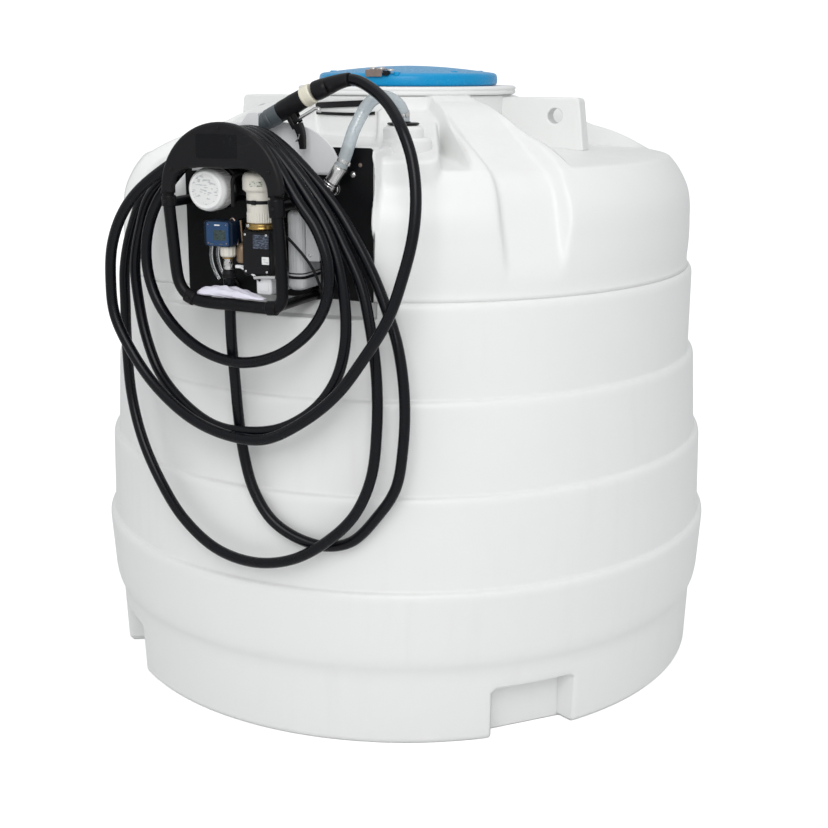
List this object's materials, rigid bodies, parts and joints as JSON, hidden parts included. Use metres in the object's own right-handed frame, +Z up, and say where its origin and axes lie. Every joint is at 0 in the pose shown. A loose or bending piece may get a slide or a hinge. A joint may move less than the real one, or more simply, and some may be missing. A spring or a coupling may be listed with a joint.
{
  "type": "diesel exhaust fluid tank",
  "caption": "Round moulded storage tank with a hinged manhole lid, lifting lugs and fork pockets, and a wall-hung dispensing pump with meter, hose and nozzle.",
  "frame": {"origin": "middle of the tank's round base, on the ground", "axes": "+Z up; -Y out of the side that the pump hangs on; +X towards the right-hand lifting lug"},
  "size_m": [1.833, 1.9031, 1.718],
  "materials": {
    "tank_white": "moulded satin",
    "rim_white": "moulded satin",
    "lid_blue": "moulded satin",
    "polished_steel": "bright",
    "black_paint": "powder coat",
    "black_plastic": "moulded satin",
    "pale_plastic": "moulded satin",
    "ivory_plastic": "moulded satin",
    "grey_casting": "painted casting",
    "brass": "satin",
    "meter_blue": "moulded gloss",
    "slate_plastic": "moulded matte",
    "clear_hose": "translucent",
    "hose_rubber": "smooth cover",
    "bag_film": "soft film"
  },
  "bodies": {
    "tank": {"boss_flange": "black_plastic", "delivery_hose": "hose_rubber", "filter_cap": "tank_white", "filter_head": "black_plastic", "folded_bag": "bag_film", "frame_arm_lower_left": "black_paint", "frame_arm_lower_right": "black_paint", "frame_arm_upper_left": "black_paint", "frame_arm_upper_right": "black_paint", "frame_loop": "black_paint", "hose_saddle": "pale_plastic", "hose_tail": "black_plastic", "lid_hinge_posts": "polished_steel", "lug_left": "tank_white", "lug_right": "tank_white", "manhole_rim": "rim_white", "meter": "meter_blue", "meter_bracket": "black_plastic", "meter_outlet": "ivory_plastic", "motor_housing": "grey_casting", "nozzle_body": "black_plastic", "nozzle_collar": "ivory_plastic", "nozzle_holder": "pale_plastic", "nozzle_sleeve": "slate_plastic", "nozzle_swivel": "black_plastic", "outlet_elbow": "polished_steel", "power_cable": "black_plastic", "pump_foot": "pale_plastic", "pump_head": "black_plastic", "pump_motor": "ivory_plastic", "pump_plate": "black_paint", "roof_back_left": "tank_white", "roof_back_right": "tank_white", "roof_front_left": "tank_white", "roof_front_right": "tank_white", "saddle_arch": "black_plastic", "seal_ring": "brass", "suction_fitting": "polished_steel", "suction_hose": "clear_hose", "tank_floor": "tank_white", "terminal_box": "grey_casting", "valve_body": "brass", "wall_back_left": "tank_white", "wall_back_right": "tank_white", "wall_front_left": "tank_white", "wall_front_right": "tank_white"},
    "lid": {"manhole_lid": "lid_blue", "lid_hinge_leaf": "polished_steel", "lid_hasp": "polished_steel"},
    "trigger": {"nozzle_trigger": "polished_steel"}
  },
  "joints": [
    {"name": "lid_hinge", "type": "hinge", "parent": "tank", "child": "lid", "pos_m": [0, 0.296, 1.684], "axis": [-1, 0, 0], "range_deg": [0, 100]},
    {"name": "trigger_hinge", "type": "hinge", "parent": "tank", "child": "trigger", "pos_m": [0.03928, -0.785, 1.58981], "axis": [0, -1, 0], "range_deg": [0, 5], "stiffness_Nm_per_rad": 0.05, "springref_deg": -28.65}
  ]
}
